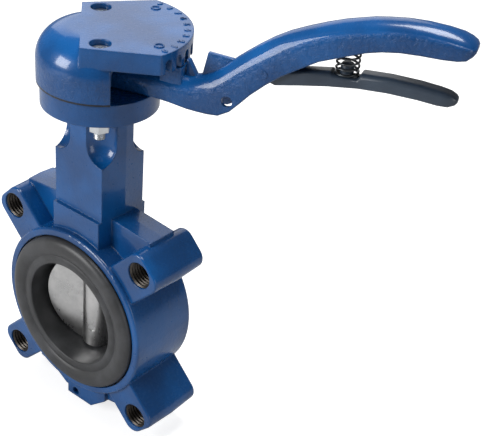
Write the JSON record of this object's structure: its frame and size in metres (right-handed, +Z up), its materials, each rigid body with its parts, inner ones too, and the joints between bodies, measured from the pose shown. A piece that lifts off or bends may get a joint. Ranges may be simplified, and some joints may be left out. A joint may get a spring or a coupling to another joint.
{
  "type": "butterfly valve",
  "caption": "Lug-type butterfly valve: bolt-through casting, rubber liner, turning disc on a stem, and a latching hand lever under a notched cap.",
  "frame": {"origin": "centre of the flow bore, in the middle of the casting's width, which is also the centre of the lug bolt circle", "axes": "+Y along the pipe, towards the rear face; +Z up the stem towards the lever; +X to the side the lever points to when the disc is shut"},
  "size_m": [0.2508, 0.1097, 0.2862],
  "materials": {
    "blue_enamel": "gloss",
    "black_rubber": "satin",
    "stainless": "satin",
    "bronze": "satin",
    "spring_steel": "satin",
    "gasket_board": "matt",
    "zinc_plate": "satin",
    "dark_coat": "satin"
  },
  "bodies": {
    "body": {"valve_body": "blue_enamel", "liner": "black_rubber", "stem_bush_lower": "bronze", "stem_bush_middle": "bronze", "stem_bush_upper": "bronze", "stem_seal": "black_rubber", "thrust_washer": "bronze", "cap_gasket": "gasket_board", "notch_cap": "blue_enamel", "cap_screw_front": "zinc_plate", "cap_screw_rear": "zinc_plate", "flange_nut_front": "zinc_plate", "flange_nut_rear": "zinc_plate"},
    "lever_and_disc": {"lever": "blue_enamel", "stem": "stainless", "disc": "stainless", "disc_pin_upper": "stainless", "disc_pin_lower": "stainless", "stem_circlip": "spring_steel", "lever_washer": "zinc_plate", "lever_screw": "zinc_plate", "trigger_pin": "blue_enamel"},
    "trigger": {"trigger": "dark_coat", "trigger_spring": "spring_steel"}
  },
  "joints": [
    {"name": "stem_turn", "type": "hinge", "parent": "body", "child": "lever_and_disc", "pos_m": [0, 0, 0], "axis": [0, 0, 1], "range_deg": [-20, 70]},
    {"name": "trigger_squeeze", "type": "hinge", "parent": "lever_and_disc", "child": "trigger", "pos_m": [0.08786, 0.03198, 0.1725], "axis": [0.342, -0.9397, 0], "range_deg": [0, 8], "stiffness_Nm_per_rad": 0.6, "springref_deg": -14.32, "deforming": ["trigger_spring"]}
  ]
}
